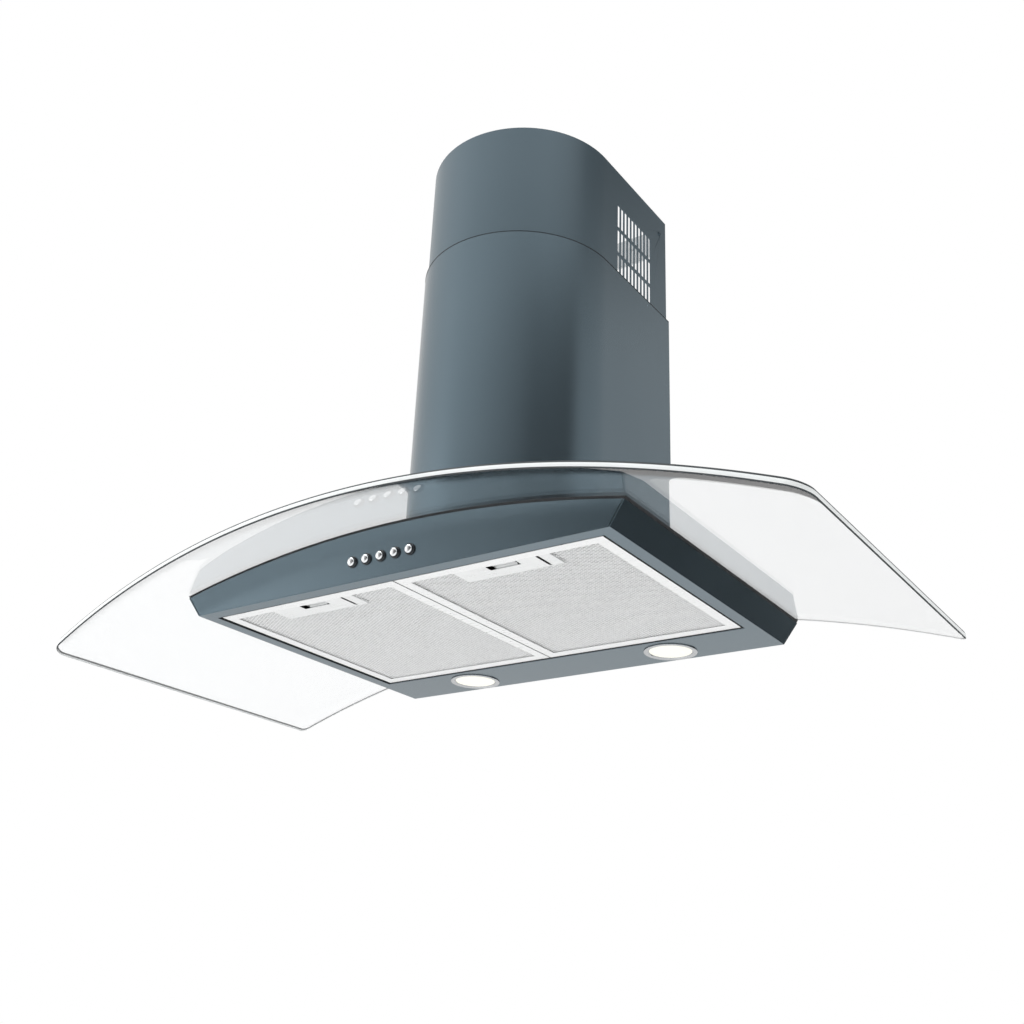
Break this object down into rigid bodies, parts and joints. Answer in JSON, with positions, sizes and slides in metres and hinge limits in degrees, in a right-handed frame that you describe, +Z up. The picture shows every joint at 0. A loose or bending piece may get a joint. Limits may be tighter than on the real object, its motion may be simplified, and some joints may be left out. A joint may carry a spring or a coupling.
{
  "type": "wall-mounted range hood",
  "caption": "Wall-mounted kitchen range hood with a curved glass canopy, flat filter body, push buttons, lamps and a telescopic D-shaped chimney.",
  "frame": {"origin": "on the wall plane, midway between the two hanging holes of the wall hanger", "axes": "+X to the right seen from the front, +Y into the wall, +Z up"},
  "size_m": [0.9, 0.456, 0.6314],
  "materials": {
    "painted_steel": "satin anthracite powder coat",
    "zinc_steel": "zinc-plated sheet steel",
    "rubber": "matt black rubber",
    "glass": "clear toughened glass",
    "fan_plastic": "moulded plastic",
    "flap_plastic": "moulded plastic",
    "motor_metal": "die-cast",
    "white_plastic": "moulded plastic",
    "bezel_plastic": "moulded plastic",
    "board": "circuit board lacquer",
    "chrome": "polished chrome",
    "lamp_glow": "frosted lens, lit warm white",
    "lamp_body": "bare die-cast",
    "aluminium": "bright anodised",
    "filter_mesh": "expanded aluminium mesh"
  },
  "bodies": {
    "hood": {"canopy_shell": "painted_steel", "front_fascia": "painted_steel", "fascia_screws": "zinc_steel", "top_plate": "zinc_steel", "glass_seal": "rubber", "glass_canopy": "glass", "glass_bolts": "zinc_steel", "glass_sleeves": "rubber", "blower_gasket": "rubber", "casing_floor": "zinc_steel", "casing_wrap": "zinc_steel", "casing_back": "zinc_steel", "casing_lid": "zinc_steel", "wall_hanger": "zinc_steel", "hanger_screws": "zinc_steel", "scroll_left": "fan_plastic", "scroll_right": "fan_plastic", "motor": "motor_metal", "motor_bracket": "zinc_steel", "motor_bushes": "rubber", "motor_screws": "zinc_steel", "outlet_collar": "fan_plastic", "capacitor": "white_plastic", "terminal_box": "fan_plastic", "cable_gland": "rubber", "led_driver": "white_plastic", "lower_chimney": "painted_steel", "chimney_clips": "zinc_steel", "switch_bezels": "bezel_plastic", "switch_block": "white_plastic", "switch_board": "board", "lamp_bezels": "chrome", "lamp_lenses": "lamp_glow", "lamp_modules": "lamp_body", "lamp_clips": "chrome", "button_springs": "zinc_steel"},
    "upper_chimney": {"upper_chimney": "painted_steel", "ceiling_bracket": "zinc_steel", "bracket_screws": "painted_steel"},
    "impeller": {"impeller": "fan_plastic", "motor_shaft": "motor_metal"},
    "flap_front": {"flap_front": "flap_plastic"},
    "flap_rear": {"flap_rear": "flap_plastic"},
    "filter_left": {"filter_left_frame": "aluminium", "filter_left_mesh": "filter_mesh", "filter_left_handle": "aluminium", "latch_spring_left": "zinc_steel"},
    "filter_right": {"filter_right_frame": "aluminium", "filter_right_mesh": "filter_mesh", "filter_right_handle": "aluminium", "latch_spring_right": "zinc_steel"},
    "latch_left": {"latch_left": "zinc_steel"},
    "latch_right": {"latch_right": "zinc_steel"},
    "button_1": {"button_1": "chrome"},
    "button_2": {"button_2": "chrome"},
    "button_3": {"button_3": "chrome"},
    "button_4": {"button_4": "chrome"},
    "button_5": {"button_5": "chrome"}
  },
  "joints": [
    {"name": "upper_chimney_slide", "type": "slide", "parent": "hood", "child": "upper_chimney", "axis": [0, 0, 1], "range_m": [-0.12, 0.2]},
    {"name": "impeller_spin", "type": "hinge", "parent": "hood", "child": "impeller", "pos_m": [0, -0.10143, -0.166], "axis": [1, 0, 0], "continuous": true},
    {"name": "flap_front_hinge", "type": "hinge", "parent": "hood", "child": "flap_front", "pos_m": [0, -0.10543, -0.007], "axis": [-1, 0, 0], "range_deg": [0, 75]},
    {"name": "flap_rear_hinge", "type": "hinge", "parent": "hood", "child": "flap_rear", "pos_m": [0, -0.09743, -0.007], "axis": [1, 0, 0], "range_deg": [0, 75]},
    {"name": "filter_left_hinge", "type": "hinge", "parent": "hood", "child": "filter_left", "pos_m": [-0.11962, -0.069, -0.3335], "axis": [1, 0, 0], "range_deg": [0, 80]},
    {"name": "latch_left_slide", "type": "slide", "parent": "filter_left", "child": "latch_left", "axis": [0, 1, 0], "range_m": [0, 0.005], "stiffness_N_per_m": 400, "springref_m": -0.004, "deforming": ["latch_spring_left"]},
    {"name": "filter_right_hinge", "type": "hinge", "parent": "hood", "child": "filter_right", "pos_m": [0.11962, -0.069, -0.3335], "axis": [1, 0, 0], "range_deg": [0, 80]},
    {"name": "latch_right_slide", "type": "slide", "parent": "filter_right", "child": "latch_right", "axis": [0, 1, 0], "range_m": [0, 0.005], "stiffness_N_per_m": 400, "springref_m": -0.004, "deforming": ["latch_spring_right"]},
    {"name": "button_1_push", "type": "slide", "parent": "hood", "child": "button_1", "axis": [0, 0.9905, 0.1374], "range_m": [0, 0.003], "stiffness_N_per_m": 500, "springref_m": -0.002, "deforming": ["button_springs"]},
    {"name": "button_2_push", "type": "slide", "parent": "hood", "child": "button_2", "axis": [0, 0.9905, 0.1374], "range_m": [0, 0.003], "stiffness_N_per_m": 500, "springref_m": -0.002, "deforming": ["button_springs"]},
    {"name": "button_3_push", "type": "slide", "parent": "hood", "child": "button_3", "axis": [0, 0.9905, 0.1374], "range_m": [0, 0.003], "stiffness_N_per_m": 500, "springref_m": -0.002, "deforming": ["button_springs"]},
    {"name": "button_4_push", "type": "slide", "parent": "hood", "child": "button_4", "axis": [0, 0.9905, 0.1374], "range_m": [0, 0.003], "stiffness_N_per_m": 500, "springref_m": -0.002, "deforming": ["button_springs"]},
    {"name": "button_5_push", "type": "slide", "parent": "hood", "child": "button_5", "axis": [0, 0.9905, 0.1374], "range_m": [0, 0.003], "stiffness_N_per_m": 500, "springref_m": -0.002, "deforming": ["button_springs"]}
  ]
}
